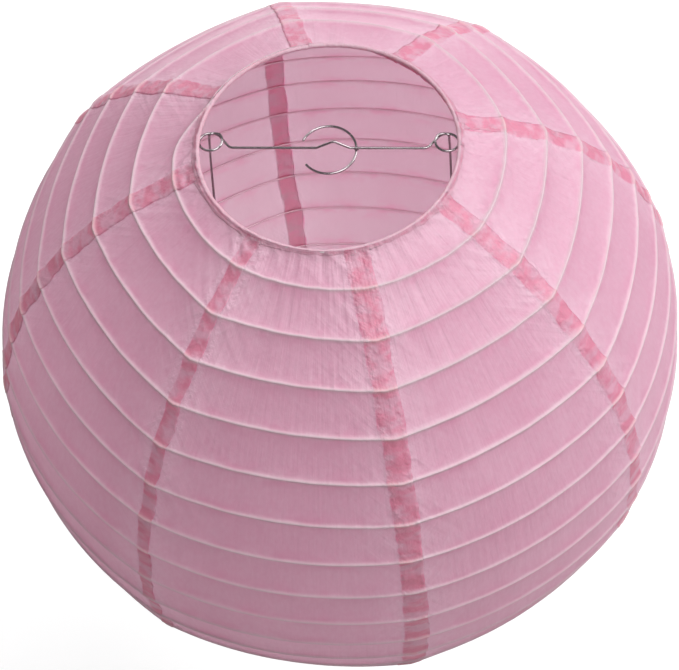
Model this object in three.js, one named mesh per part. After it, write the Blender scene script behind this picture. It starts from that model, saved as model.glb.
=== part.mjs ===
// A 16 inch (400 mm) round paper lantern with its wire expander, in millimetres, +Z up.
// The origin is on the shell's vertical axis, level with the peak of the bar's kink, where it hangs.
// The shell is two wire rings, one rib wire wound in a spiral between them and eight paper gores.
// The expander is a crossbar with a loop at each end, two spring legs and a split ring for the cord.
import * as THREE from "three";

// Driving dimensions
const SHELL_RADIUS = 199.2; // outside of the paper at the middle, on average round the plan
const SEAM_SHARE = 1.023; // the plan is an eight-sided round: its corners stand out at the seams
const MID_GORE_SHARE = 0.991; // and it is nearer in between them
const ROUNDER_AT_MIDDLE = 0.72; // how much of that is lost by the shell's widest part
const CORNERS_FULL_AT = 0.6; // polar angles from the nearer mouth's pole, in radians
const CORNERS_FADE_FROM = 0.7;
const CORNERS_FADE_TO = 1.45;
const SHELL_SQUASH = 0.955; // the shell's height as a share of a sphere's
const OPENING_RING_RADIUS = 70.3; // centre line of the wire ring round each mouth
const RING_WIRE_RADIUS = 0.8;
const GORE_COUNT = 8;
const SIDES_PER_GORE = 3;
const FIRST_SEAM_DEG = 12;
const SEAM_LAP = 11; // how far a gore's edge laps over the next gore
const PAPER = 0.5;
const GAP = 0.3; // left between two pieces that touch
const GORE_ROWS = 20;
const RIB_PITCH_DEG = 7.6; // polar angle from one turn of the rib wire to the next
const RIB_WIRE_RADIUS = 0.6;
const RIB_START_DEG = 154; // where the rib wire leaves the top ring
const RIB_LEAD_DEG = 31; // how far round it takes to drop its first half pitch
const RIB_LEAD_PITCHES = 0.54;
const RIB_RING_ROOM = 0.5; // kept between the rib wire and each ring beyond the usual gap
const RIB_PAPER_ROOM = 0.4; // kept under the paper's flats beyond the usual gap
const EXPANDER_WIRE_RADIUS = 0.675;
const KINK_HEIGHT = 5.6;
const KINK_PEAK_X = 3;
const KINK_LEFT_X = -6.5;
const KINK_RIGHT_X = 11.5;
const BAR_BEND_X = 53;
const LOOP_CENTRE = new THREE.Vector2(63.4, 3.4);
const LOOP_RADIUS = 6.3;
const LOOP_RISE = 1.8; // height gained in one turn of a loop
const LOOP_END_DROP = 0.8; // the loops end this far under the bar's centre line and the legs go on
const LOOP_ENTRY_DEG = 45; // the bar runs into its loop here
const LEG_TURN_RADIUS = 4.4; // the leg goes down inside its loop, this far from its centre
const LEG_TURN_DEG = 105;
const LEG_BOW_X = 67.2; // the legs bow out to here half way down
const LEG_BOW_POWER = 0.7; // below 1, the bow is fuller near both ends
const FOOT_TIP_X = 71.4;
const FOOT_BEND_RADIUS = 4;
const CORD_RING_RADIUS = 15;
const CORD_RING_FROM_DEG = -142;
const CORD_RING_TO_DEG = 157;
const CORD_RING_TILT_DEG = 6; // its far side is a little higher

// Derived places
const SEGMENT = (2 * Math.PI) / (GORE_COUNT * SIDES_PER_GORE);
const FIRST_SEAM = THREE.MathUtils.degToRad(FIRST_SEAM_DEG);
const BAR_Z = -KINK_HEIGHT;
const RING_Z = BAR_Z + 2.5; // the ring rests on the loops
const RING_ANGLE = Math.asin(OPENING_RING_RADIUS / SHELL_RADIUS);
const CENTRE_Z = RING_Z - SHELL_RADIUS * SHELL_SQUASH * Math.cos(RING_ANGLE);
const BOTTOM_RING_Z = 2 * CENTRE_Z - RING_Z;
const FOOT_Z = BOTTOM_RING_Z + RING_WIRE_RADIUS + GAP + EXPANDER_WIRE_RADIUS;

const paperColours = [0xe3a9c4, 0xdf9fbd];
const steel = new THREE.MeshStandardMaterial({ color: 0xc9cbcf, roughness: 0.2, metalness: 1 });
const ribWire = new THREE.MeshStandardMaterial({ color: 0x9a9a9c, roughness: 0.45, metalness: 0.9 });

const lantern = new THREE.Group();

function addNode(name, geometry, material) {
  const mesh = new THREE.Mesh(geometry, material);
  mesh.name = name;
  lantern.add(mesh);
}

// A path through a list of points, one extrusion step from each point to the next.
class BentWire extends THREE.Curve {
  constructor(points) {
    super();
    this.points = points;
  }

  getPoint(t, target = new THREE.Vector3()) {
    const last = this.points.length - 1;
    const place = THREE.MathUtils.clamp(t, 0, 1) * last;
    const index = Math.min(Math.floor(place), last - 1);
    return target.lerpVectors(this.points[index], this.points[index + 1], place - index);
  }

  getUtoTmapping(u) {
    return u;
  }
}

// A round wire of the given radius along a list of points.
function wire(points, radius, sides) {
  const section = new THREE.Shape();
  for (let side = 0; side < sides; side += 1) {
    const angle = (2 * Math.PI * side) / sides;
    const x = radius * Math.cos(angle);
    const y = radius * Math.sin(angle);
    if (side === 0) section.moveTo(x, y);
    else section.lineTo(x, y);
  }
  section.closePath();
  const extrudePath = new BentWire(points);
  return new THREE.ExtrudeGeometry(section, { extrudePath, steps: points.length - 1 });
}

// The same points with every corner rounded: corner i gets the bend radius bends[i].
function roundedCorners(corners, bends, stepDeg = 18) {
  const points = [corners[0]];
  for (let i = 1; i < corners.length - 1; i += 1) {
    const back = corners[i - 1].clone().sub(corners[i]).normalize();
    const ahead = corners[i + 1].clone().sub(corners[i]).normalize();
    const half = back.angleTo(ahead) / 2;
    const centre = back.clone().add(ahead).normalize();
    centre.multiplyScalar(bends[i] / Math.sin(half)).add(corners[i]);
    const start = back.multiplyScalar(bends[i] / Math.tan(half)).add(corners[i]).sub(centre);
    const end = ahead.multiplyScalar(bends[i] / Math.tan(half)).add(corners[i]).sub(centre);
    const turn = start.angleTo(end);
    const axis = start.clone().cross(end).normalize();
    const steps = Math.max(2, Math.ceil(THREE.MathUtils.radToDeg(turn) / stepDeg));
    for (let step = 0; step <= steps; step += 1) {
      points.push(start.clone().applyAxisAngle(axis, (turn * step) / steps).add(centre));
    }
  }
  points.push(corners[corners.length - 1]);
  return points;
}

// How far out a corner of the plan is, as a share of the average. The plan is round at both mouths,
// most eight-sided below the mouth and nearly round again at the shell's widest part.
function cornerShare(corner, polar) {
  const share = corner % SIDES_PER_GORE === 0 ? SEAM_SHARE : MID_GORE_SHARE;
  const fromMouth = Math.min(polar, Math.PI - polar);
  const rise = THREE.MathUtils.smoothstep(fromMouth, RING_ANGLE, CORNERS_FULL_AT);
  const fade = THREE.MathUtils.smoothstep(fromMouth, CORNERS_FADE_FROM, CORNERS_FADE_TO);
  return THREE.MathUtils.lerp(1, share, rise * (1 - ROUNDER_AT_MIDDLE * fade));
}

// The shell's surface, inset by a distance: a polygon in plan with corners at and between the seams.
function shellPoint(polar, azimuth, inset) {
  const across = (azimuth - FIRST_SEAM) / SEGMENT;
  const corner = Math.floor(across);
  const past = (across - corner) * SEGMENT;
  const here = cornerShare(corner, polar);
  const next = cornerShare(corner + 1, polar);
  const along = here * Math.sin(past) + next * Math.sin(SEGMENT - past);
  const flat = (here * next * Math.sin(SEGMENT)) / along;
  const radius = (SHELL_RADIUS - inset) * Math.sin(polar) * flat;
  const z = CENTRE_Z + (SHELL_RADIUS * SHELL_SQUASH - inset) * Math.cos(polar);
  return new THREE.Vector3(radius * Math.cos(azimuth), radius * Math.sin(azimuth), z);
}

// One wire ring round a mouth, of a round section.
function openingRing(z) {
  const profile = [];
  const sides = 6;
  for (let side = 0; side <= sides; side += 1) {
    const angle = (2 * Math.PI * (side % sides)) / sides;
    const x = OPENING_RING_RADIUS + RING_WIRE_RADIUS * Math.cos(angle);
    profile.push(new THREE.Vector2(x, RING_WIRE_RADIUS * Math.sin(angle)));
  }
  // A lathe turns about Y, so it is stood up to turn about Z.
  return new THREE.LatheGeometry(profile, 48).rotateX(Math.PI / 2).translate(0, 0, z);
}

// The polar angle of the rib wire after it has turned through the given angle from its start.
function ribPolar(turned) {
  const pitch = THREE.MathUtils.degToRad(RIB_PITCH_DEG);
  const lead = THREE.MathUtils.degToRad(RIB_LEAD_DEG);
  const first = RIB_LEAD_PITCHES * THREE.MathUtils.smoothstep(turned, 0, lead);
  return RING_ANGLE + pitch * (first + Math.max(0, turned - lead) / (2 * Math.PI));
}

// One continuous wire, wound from the top ring down to the bottom ring on the inside of the paper.
function ribSpiral() {
  const inset = PAPER + GAP + RIB_WIRE_RADIUS + RIB_PAPER_ROOM;
  const clearOfRing = (RING_WIRE_RADIUS + GAP + RIB_WIRE_RADIUS + RIB_RING_ROOM) / SHELL_RADIUS;
  const top = RING_ANGLE + clearOfRing;
  const bottom = Math.PI - top;
  const points = [];
  for (let step = 0; ribPolar(step * SEGMENT) < bottom; step += 1) {
    const polar = Math.max(top, ribPolar(step * SEGMENT));
    const azimuth = THREE.MathUtils.degToRad(RIB_START_DEG) + step * SEGMENT;
    points.push(shellPoint(polar, azimuth, inset));
  }
  return wire(points, RIB_WIRE_RADIUS, 4);
}

// One paper gore between two seams. Its far edge steps out and laps over the next gore.
function gore(index) {
  const firstPolar = Math.asin((OPENING_RING_RADIUS + RING_WIRE_RADIUS + GAP + PAPER) / SHELL_RADIUS);
  const start = FIRST_SEAM + index * SIDES_PER_GORE * SEGMENT;
  const end = start + SIDES_PER_GORE * SEGMENT;
  const step = PAPER + GAP;
  const rows = [];
  for (let row = 0; row <= GORE_ROWS; row += 1) {
    const polar = firstPolar + ((Math.PI - 2 * firstPolar) * row) / GORE_ROWS;
    const around = SHELL_RADIUS * Math.sin(polar);
    const edge = start + GAP / around;
    const lap = end + SEAM_LAP / around;
    const turns = [edge, start + SEGMENT, start + 2 * SEGMENT, end - step / around];
    const outside = turns.map((azimuth) => shellPoint(polar, azimuth, 0));
    const inside = [edge, start + SEGMENT, start + 2 * SEGMENT, end];
    const underside = inside.map((azimuth) => shellPoint(polar, azimuth, PAPER));
    rows.push([
      ...underside,
      shellPoint(polar, end, -GAP),
      shellPoint(polar, lap, -GAP),
      shellPoint(polar, lap, -step),
      shellPoint(polar, end - step / around, -step),
      ...outside.reverse(),
    ]);
  }
  return closedLoft(rows);
}

// A closed solid through rows of points, each row one closed outline, with both end rows capped.
function closedLoft(rows) {
  const size = rows[0].length;
  const positions = rows.flat().flatMap((point) => point.toArray());
  const faces = [];
  for (let row = 0; row + 1 < rows.length; row += 1) {
    for (let i = 0; i < size; i += 1) {
      const here = row * size + i;
      const beside = row * size + ((i + 1) % size);
      faces.push(here, beside, here + size, beside, beside + size, here + size);
    }
  }
  const lastRow = (rows.length - 1) * size;
  for (const [a, b, c] of capFaces(size)) {
    faces.push(a, c, b);
    faces.push(lastRow + a, lastRow + b, lastRow + c);
  }
  const geometry = new THREE.BufferGeometry();
  geometry.setAttribute("position", new THREE.Float32BufferAttribute(positions, 3));
  geometry.setIndex(faces);
  geometry.computeVertexNormals();
  return geometry;
}

// A gore's outline has as many points inside as outside, so its cap is a strip across the paper.
function capFaces(size) {
  const faces = [];
  for (let i = 0; i + 1 < size / 2; i += 1) {
    const across = size - 1 - i;
    faces.push([i, i + 1, across], [i + 1, across - 1, across]);
  }
  return faces;
}

// Half of the crossbar, from the kink's peak to where a leg takes over. side is -1 on the left and
// 1 on the right.
function crossbarHalf(side, kinkX) {
  const at = (x, y, z) => new THREE.Vector3(side * x, y, z);
  const entry = THREE.MathUtils.degToRad(LOOP_ENTRY_DEG);
  const loopPoint = (angle, radius, z) =>
    at(LOOP_CENTRE.x - radius * Math.cos(angle), LOOP_CENTRE.y + radius * Math.sin(angle), z);
  const corners = [
    new THREE.Vector3(KINK_PEAK_X, 0, 0),
    new THREE.Vector3(kinkX, 0, BAR_Z),
    at(BAR_BEND_X, 0, BAR_Z),
    loopPoint(entry, LOOP_RADIUS, BAR_Z),
  ];
  const points = roundedCorners(corners, [0, 3, 4, 0]).slice(1);
  const stepAngle = Math.PI / 10;
  const fullTurn = 2 * Math.PI;
  for (let angle = stepAngle; angle <= fullTurn + 1e-6; angle += stepAngle) {
    const z = BAR_Z + (LOOP_RISE * angle) / fullTurn;
    points.push(loopPoint(entry + angle, LOOP_RADIUS, z));
  }
  const legTurn = THREE.MathUtils.degToRad(LEG_TURN_DEG);
  const topZ = BAR_Z + LOOP_RISE + 0.1;
  const inward = [
    points[points.length - 1],
    loopPoint((entry + legTurn) / 2, (LOOP_RADIUS + LEG_TURN_RADIUS) / 2, topZ),
    loopPoint(legTurn, LEG_TURN_RADIUS, topZ),
    loopPoint(legTurn, LEG_TURN_RADIUS, BAR_Z - LOOP_END_DROP),
  ];
  return [...points.slice(0, -1), ...roundedCorners(inward, [0, 3, 1.4, 0], 24)];
}

// The crossbar: a straight bar with a kink to hang it by and a loop at each end under the top ring.
function crossbar() {
  const peak = roundedCorners(
    [
      new THREE.Vector3(KINK_LEFT_X, 0, BAR_Z),
      new THREE.Vector3(KINK_PEAK_X, 0, 0),
      new THREE.Vector3(KINK_RIGHT_X, 0, BAR_Z),
    ],
    [0, 2.2, 0],
  ).slice(1, -1);
  const left = crossbarHalf(-1, KINK_LEFT_X).reverse();
  return wire([...left, ...peak, ...crossbarHalf(1, KINK_RIGHT_X)], EXPANDER_WIRE_RADIUS, 6);
}

// One spring leg: down from its loop, bowed out a little, to a foot turned out over the bottom ring.
function leg(side) {
  const legTurn = THREE.MathUtils.degToRad(LEG_TURN_DEG);
  const topX = LOOP_CENTRE.x - LEG_TURN_RADIUS * Math.cos(legTurn);
  const topY = LOOP_CENTRE.y + LEG_TURN_RADIUS * Math.sin(legTurn);
  const topZ = BAR_Z - LOOP_END_DROP - GAP;
  const bendTop = FOOT_Z + FOOT_BEND_RADIUS;
  const points = [];
  const steps = 10;
  for (let step = 0; step < steps; step += 1) {
    const down = step / steps;
    const bow = (LEG_BOW_X - topX) * Math.sin(Math.PI * down) ** LEG_BOW_POWER;
    const z = THREE.MathUtils.lerp(topZ, bendTop, down);
    points.push(new THREE.Vector3(side * (topX + bow), topY * (1 - down), z));
  }
  const foot = [
    points.pop(),
    new THREE.Vector3(side * topX, 0, FOOT_Z),
    new THREE.Vector3(side * FOOT_TIP_X, 0, FOOT_Z),
  ];
  const toFoot = roundedCorners(foot, [0, FOOT_BEND_RADIUS, 0]);
  return wire([...points, ...toFoot], EXPANDER_WIRE_RADIUS, 6);
}

// The split ring that the lamp cord is slipped into, just under the bar, open on the left.
function cordRing() {
  const z = BAR_Z - 2 * EXPANDER_WIRE_RADIUS - GAP;
  const tilt = THREE.MathUtils.degToRad(CORD_RING_TILT_DEG);
  const points = [];
  const steps = 28;
  for (let step = 0; step <= steps; step += 1) {
    const degrees = THREE.MathUtils.lerp(CORD_RING_FROM_DEG, CORD_RING_TO_DEG, step / steps);
    const angle = THREE.MathUtils.degToRad(degrees);
    const x = CORD_RING_RADIUS * Math.cos(angle);
    const far = CORD_RING_RADIUS * Math.sin(angle);
    points.push(new THREE.Vector3(x, far * Math.cos(tilt), z + far * Math.sin(tilt)));
  }
  return wire(points, EXPANDER_WIRE_RADIUS, 6);
}

addNode("crossbar", crossbar(), steel);
addNode("cord_ring", cordRing(), steel);
addNode("left_leg", leg(-1), steel);
addNode("right_leg", leg(1), steel);
addNode("top_ring", openingRing(RING_Z), ribWire);
addNode("bottom_ring", openingRing(BOTTOM_RING_Z), ribWire);
addNode("rib_spiral", ribSpiral(), ribWire);
for (let index = 0; index < GORE_COUNT; index += 1) {
  const colour = paperColours[index % paperColours.length];
  const paper = new THREE.MeshStandardMaterial({ color: colour, roughness: 0.6, metalness: 0 });
  addNode(`gore_${index + 1}`, gore(index), paper);
}

export default lantern;
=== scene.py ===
"""A pink round paper lantern with its wire expander, in metres, +Z up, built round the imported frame."""

import math

import bpy
import numpy as np
from mathutils import Matrix, Vector


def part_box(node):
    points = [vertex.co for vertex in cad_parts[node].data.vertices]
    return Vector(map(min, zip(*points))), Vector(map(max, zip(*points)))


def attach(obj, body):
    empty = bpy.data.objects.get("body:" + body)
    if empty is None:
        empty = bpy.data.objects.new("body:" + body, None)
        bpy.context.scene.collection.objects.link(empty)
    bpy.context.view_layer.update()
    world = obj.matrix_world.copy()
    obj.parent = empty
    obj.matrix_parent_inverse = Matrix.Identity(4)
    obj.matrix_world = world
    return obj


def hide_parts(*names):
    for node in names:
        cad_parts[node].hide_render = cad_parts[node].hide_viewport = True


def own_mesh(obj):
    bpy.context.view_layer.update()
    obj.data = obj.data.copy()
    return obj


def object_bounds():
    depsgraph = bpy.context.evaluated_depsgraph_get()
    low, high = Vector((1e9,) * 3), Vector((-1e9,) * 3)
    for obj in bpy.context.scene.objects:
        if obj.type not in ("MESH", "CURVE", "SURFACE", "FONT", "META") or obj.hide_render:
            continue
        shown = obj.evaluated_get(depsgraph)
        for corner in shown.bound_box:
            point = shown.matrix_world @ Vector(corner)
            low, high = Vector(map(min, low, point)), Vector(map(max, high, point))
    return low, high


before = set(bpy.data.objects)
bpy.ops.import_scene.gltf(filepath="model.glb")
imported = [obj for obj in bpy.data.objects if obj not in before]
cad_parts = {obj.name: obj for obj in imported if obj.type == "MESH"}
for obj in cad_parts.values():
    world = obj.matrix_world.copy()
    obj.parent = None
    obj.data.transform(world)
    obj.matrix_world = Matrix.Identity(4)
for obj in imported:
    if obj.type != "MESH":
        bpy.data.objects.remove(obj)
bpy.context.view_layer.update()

# ---------------------------------------------------------------- sizes

MM = 0.001
FULL_TURN = 2 * math.pi
GORES = 8
FIRST_SEAM = math.radians(14)  # the middle of the first lapped seam
SEAM_STEP = FULL_TURN / GORES

low, high = (np.array(corner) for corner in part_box("top_ring"))
RING_WIRE = (high[2] - low[2]) / 2 / math.sin(math.radians(60))  # the CAD wire has six sides
RING_RADIUS = (high[0] - low[0]) / 2 - RING_WIRE
TOP_Z = (high[2] + low[2]) / 2
low, high = (np.array(corner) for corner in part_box("bottom_ring"))
BOTTOM_Z = (high[2] + low[2]) / 2
CENTRE_Z = (TOP_Z + BOTTOM_Z) / 2
SHELL_RADIUS = 199.2 * MM
RING_POLAR = math.asin(RING_RADIUS / SHELL_RADIUS)
SHELL_HEIGHT = (TOP_Z - CENTRE_Z) / math.cos(RING_POLAR)
ARC = 200 * MM  # turns an angle into a distance for the wrinkles' patterns
HAIR = 1e-9  # an angle too small to matter
NO_WIDTH = 1e-6  # stands for the width of a panel that is shut

PAPER = 0.12 * MM
SEAM_LAPS = np.array([11, 11, 11.5, 11, 12, 8, 13, 11]) * MM  # seam by seam, from FIRST_SEAM round
LAP_LIFT = 0.26 * MM
HOLLOW = 1.25 * MM  # how far the paper sinks between two ribs
HOLLOW_POWER = 3.0
CREST = 0.68 * MM  # how far it stands over a rib
CREST_WIDTH = 0.85 * MM
PLAN_HOLLOW = 0.034  # how far the middle of a gore sits inside its seams, as a share
ROUNDER = 0.72  # how much of that is lost by the shell's widest part
CORNERS_FULL_AT = 0.6  # polar angle where the plan has its full corners
CORNERS_FADE_FROM = 0.7  # and the two between which it gets rounder again
CORNERS_FADE_TO = 1.45
SHOULDER = 2.7 * MM  # a faint second fold under each rib
SHOULDER_RISE = 0.16 * MM
SHOULDER_WIDTH = 0.6 * MM
SHOULDER_LENGTH = 26 * MM
SHOULDER_SHARE = 0.25  # more than 0 and the fold shows on more than half of a rib
CREST_WANDER = 0.3 * MM
CREST_WANDER_LENGTH = 13 * MM
RIM_LIFT = 0.95 * MM
RIM_LIFT_FADE = 5 * MM

RIB_PITCH = math.radians(7.6)
RIB_START = math.radians(154)
RIB_LEAD = math.radians(31)
RIB_LEAD_PITCHES = 0.54
RIB_WIRE = 0.6 * MM
RIB_TURNS = 19
RIB_SINK = 0.55 * MM  # from the shell's surface in to the rib wire's centre
RIB_CLEARANCE = 2.2 * MM  # from the top ring's centre to the rib wire's
RIB_END_CLEARANCE = 4.8 * MM  # the rib wire stops short of the bottom hem's tail
GORE_CLEARANCE = 1.1 * MM  # the gores end just outside the ring wires, under the hems

HEM_RADIUS = 1.2 * MM
RING_KINK_AT = math.radians(269.4)
RING_KINK = 0.6 * MM
RING_KINK_WIDTH = math.radians(5)

EXPANDER_WIRE = 0.675 * MM
KINK_HEIGHT = 5.6 * MM
KINK_PEAK_X = 3 * MM
KINK_LEFT_X = -6.5 * MM
KINK_RIGHT_X = 11.5 * MM
BAR_Z = -KINK_HEIGHT
BAR_BEND_X = 53 * MM
LOOP_X = 63.4 * MM
LOOP_Y = 3.4 * MM
LOOP_RADIUS = 6.3 * MM
LOOP_RISE = 1.8 * MM
LEG_TURN_RADIUS = 4.4 * MM
LEG_TURN = math.radians(105)
LEG_BOW_X = 67.2 * MM
FOOT_TIP_X = 71.4 * MM
FOOT_BEND = 4 * MM
FOOT_Z = BOTTOM_Z + 1.775 * MM
CORD_RING_RADIUS = 15 * MM
CORD_RING_DROP = 1.65 * MM
CORD_RING_FROM = math.radians(-142)
CORD_RING_TO = math.radians(157)
CORD_RING_TILT = math.radians(6)  # its far side is a little higher

# ---------------------------------------------------------------- noise


LATTICE = 32  # the noise repeats after this many lumps


def lattice_noise(points, size, seed):
    """Smooth noise from -1 to 1 at each point, with lumps of about the given size."""
    table = np.random.default_rng(seed).uniform(-1, 1, (LATTICE, LATTICE, LATTICE))
    places = np.asarray(points) / size
    cell = np.floor(places).astype(int)
    part = places - cell
    part = part * part * (3 - 2 * part)
    total = np.zeros(places.shape[:-1])
    for corner in np.ndindex(2, 2, 2):
        index = (cell + corner) % LATTICE
        weight = np.prod(np.where(np.array(corner) == 1, part, 1 - part), axis=-1)
        total += weight * table[index[..., 0], index[..., 1], index[..., 2]]
    return total


def flat_noise(across, along, size, seed):
    """The same on a flat pattern of two coordinates in metres."""
    return lattice_noise(np.stack([across, along, np.zeros_like(across)], -1), size, seed)


def ramp(values, start, end):
    """0 before start, 1 after end, smooth between."""
    t = np.clip((values - start) / (end - start), 0, 1)
    return t * t * (3 - 2 * t)


def bell(values, width):
    return np.exp(-((values / width) ** 2))


# ---------------------------------------------------------------- the shell's surface


def rib_polar(turned):
    """Polar angle of the rib wire after turning that far from where it leaves the top ring."""
    first = RIB_LEAD_PITCHES * ramp(turned, 0, RIB_LEAD)
    rest = np.maximum(0, turned - RIB_LEAD) / FULL_TURN
    return np.clip(RING_POLAR + RIB_PITCH * (first + rest), RING_POLAR, math.pi - RING_POLAR)


def rib_line(number, turned):
    """Polar angle of a line across the paper: the top ring is line 0, then come the rib's turns.

    The line after the last turn is the bottom ring.
    """
    polar = rib_polar(turned + FULL_TURN * (number - 1))
    polar = np.where(number <= 0, RING_POLAR, polar)
    return np.where(number > RIB_TURNS, math.pi - RING_POLAR, polar)


def shell_normal(polar, azimuth):
    across = np.sin(polar)
    return np.stack([across * np.cos(azimuth), across * np.sin(azimuth), np.cos(polar)], axis=-1)


def smooth_shell(polar, azimuth):
    """A point where the paper lies on a rib: rounded eight-sided in plan, and round at the mouths."""
    share = ((azimuth - FIRST_SEAM) / SEAM_STEP) % 1
    stand_out = PLAN_HOLLOW * ((2 * share - 1) ** 2 - 1 / 3)
    from_mouth = np.minimum(polar, math.pi - polar)
    rounder = ROUNDER * ramp(from_mouth, CORNERS_FADE_FROM, CORNERS_FADE_TO)
    stand_out = stand_out * ramp(from_mouth, RING_POLAR, CORNERS_FULL_AT) * (1 - rounder)
    radius = SHELL_RADIUS * np.sin(polar) * (1 + stand_out)
    x = radius * np.cos(azimuth)
    y = radius * np.sin(azimuth)
    return np.stack([x, y, CENTRE_Z + SHELL_HEIGHT * np.cos(polar)], axis=-1)


def rim_distance(polar):
    """How far along the paper a point is from the nearer ring."""
    return SHELL_RADIUS * np.minimum(polar - RING_POLAR, math.pi - RING_POLAR - polar)


def seam_distance(polar, azimuth):
    """Signed distance round the shell from the nearest seam."""
    share = ((azimuth - FIRST_SEAM) / SEAM_STEP + 0.5) % 1 - 0.5
    return share * SEAM_STEP * SHELL_RADIUS * np.sin(polar)


# Where the material's wrinkles are: beside a seam, crinkled along a lap's edges, on a seam and at a rim.
FAN_REACH = 26 * MM
LAP_EDGE_AT = 6 * MM
LAP_EDGE_WIDTH = 2.5 * MM
LAP_EDGE_CRUSH = 0.55
SEAM_CRUSH = 0.2
SEAM_CRUSH_WIDTH = 8 * MM
RIM_CRUSH = 0.5
RIM_CRUSH_FADE = 9 * MM


def flat_places(polar, azimuth):
    """Where points lie on the paper laid flat, and how near a seam or a mouth, by attribute name."""
    away = np.abs(seam_distance(polar, azimuth))
    crushed = LAP_EDGE_CRUSH * bell(away - LAP_EDGE_AT, LAP_EDGE_WIDTH)
    crushed = crushed + SEAM_CRUSH * bell(away, SEAM_CRUSH_WIDTH)
    crushed = crushed + RIM_CRUSH * np.exp(-rim_distance(polar) / RIM_CRUSH_FADE)
    return {
        "around": azimuth * ARC,
        "down": polar * ARC,
        "away": away,
        "fanned": bell(away, FAN_REACH),
        "crushed": np.clip(crushed, 0, 1),
    }


# Each kind of wrinkle: its height in millimetres, the size of its lumps and the seed of its noise.
STREAKS = (0.17, 4.4 * MM, 3)  # from rib to rib
GRAIN = (0.07, 2.8 * MM, 5)
SWELL = (0.36, 32 * MM, 7)
SEAM_PUCKER = (0.42, 4 * MM, 11)
SEAM_GRAIN = (0.24, 2.1 * MM, 19)
FANS = (0.42, 3.6 * MM, (37, 41))  # slanting off the seams, one way and the other
RIM_GATHER = (0.48, 3.4 * MM, 13)  # running out from the mouths
RIM_GRAIN = (0.16, 2.2 * MM, 47)
CORNER_CRUMPLE = (0.75, 3 * MM, 43)  # where a seam meets a mouth

STREAK_SQUEEZE = 0.13  # a streak's pattern along its run, as a share of that across it
PATCH = (70 * MM, 29)  # size and seed of the patches where the streaks are stronger
PATCH_FROM = -0.3
PATCH_TO = 0.5
CALM = 0.4  # how strong the streaks are between their patches
PUCKER_SQUEEZE = 0.3
PUCKER_WIDTH = 9 * MM
SEAM_GRAIN_WIDTH = 7 * MM
FAN_SLANT = 0.9
FAN_AT = 7 * MM
FAN_WIDTH = 18 * MM
FAN_SHARPNESS = 1.5
GATHER_ARC = 70 * MM  # the rings' radius, about
GATHER_SQUEEZE = 0.12
GATHER_FADE = 20 * MM
RIM_GRAIN_FADE = 14 * MM
CORNER_WIDTH = 11 * MM
CORNER_DEPTH = 14 * MM
RIB_HOLD = 0.8  # how much of the wrinkles' height a rib takes away
RIB_HOLD_WIDTH = 2.4 * MM


def crumple(points, polar, azimuth, rib_gap):
    """The paper's own wrinkles, outwards in metres. They fade on the ribs, where the wire holds it."""
    around = azimuth * ARC
    down = polar * ARC
    side = np.abs(seam_distance(polar, azimuth))
    rim = rim_distance(polar)

    def lumps(kind):
        height, size, seed = kind
        return height * lattice_noise(points, size, seed)

    patches = ramp(lattice_noise(points, *PATCH), PATCH_FROM, PATCH_TO)
    height, size, seed = STREAKS
    total = height * (CALM + patches) * flat_noise(around, down * STREAK_SQUEEZE, size, seed)
    total += lumps(GRAIN)
    total += lumps(SWELL)
    height, size, seed = SEAM_PUCKER
    total += height * bell(side, PUCKER_WIDTH) * flat_noise(around * PUCKER_SQUEEZE, down, size, seed)
    total += bell(side, SEAM_GRAIN_WIDTH) * lumps(SEAM_GRAIN)
    height, size, seeds = FANS
    for angle, seed in zip((FAN_SLANT, -FAN_SLANT), seeds):
        crossing = down * math.cos(angle) - side * math.sin(angle)
        running = down * math.sin(angle) + side * math.cos(angle)
        fan = np.maximum(0, flat_noise(crossing, running * STREAK_SQUEEZE, size, seed))
        total += height * bell(side - FAN_AT, FAN_WIDTH) * fan**FAN_SHARPNESS
    height, size, seed = RIM_GATHER
    gather = flat_noise(azimuth * GATHER_ARC, down * GATHER_SQUEEZE, size, seed)
    total += height * np.exp(-rim / GATHER_FADE) * gather
    total += np.exp(-rim / RIM_GRAIN_FADE) * lumps(RIM_GRAIN)
    total += bell(side, CORNER_WIDTH) * bell(rim, CORNER_DEPTH) * lumps(CORNER_CRUMPLE)
    return MM * total * (1 - RIB_HOLD * bell(rib_gap, RIB_HOLD_WIDTH))


def crest_wander(line, azimuth):
    """How far a rib's crest strays down the paper from the wire's middle."""
    return CREST_WANDER * flat_noise(azimuth * ARC, line * ARC, CREST_WANDER_LENGTH, 31)


def paper_point(polar, azimuth, above, below, lift):
    """Where the paper is, between the line above and the line below, with how close the nearer rib is.

    The two rings have no crest over them, so as ribs they count as a metre away.
    """
    width = np.maximum(below - above, NO_WIDTH)
    share = np.clip((polar - above) / width, 0, 1)[..., None]
    chord = smooth_shell(above, azimuth) * (1 - share) + smooth_shell(below, azimuth) * share
    from_above = SHELL_RADIUS * (polar - above) - crest_wander(above, azimuth)
    from_above = from_above + np.where(above <= RING_POLAR + HAIR, 1, 0)
    from_below = SHELL_RADIUS * (below - polar) + crest_wander(below, azimuth)
    from_below = from_below + np.where(below >= math.pi - RING_POLAR - HAIR, 1, 0)
    rib_gap = np.minimum(np.abs(from_above), np.abs(from_below))
    sink = 1 - np.abs(2 * share[..., 0] - 1) ** HOLLOW_POWER
    offset = lift - HOLLOW * sink * np.minimum(1, width / RIB_PITCH) ** 2
    offset = offset + CREST * bell(rib_gap, CREST_WIDTH)
    fold = np.clip(flat_noise(azimuth * ARC, above * ARC, SHOULDER_LENGTH, 33) + SHOULDER_SHARE, 0, 1)
    offset = offset + SHOULDER_RISE * fold * bell(from_above - SHOULDER, SHOULDER_WIDTH)
    offset = offset + RIM_LIFT * np.exp(-rim_distance(polar) / RIM_LIFT_FADE)
    offset = offset + crumple(chord, polar, azimuth, rib_gap)
    return chord + shell_normal(polar, azimuth) * offset[..., None], rib_gap


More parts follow.
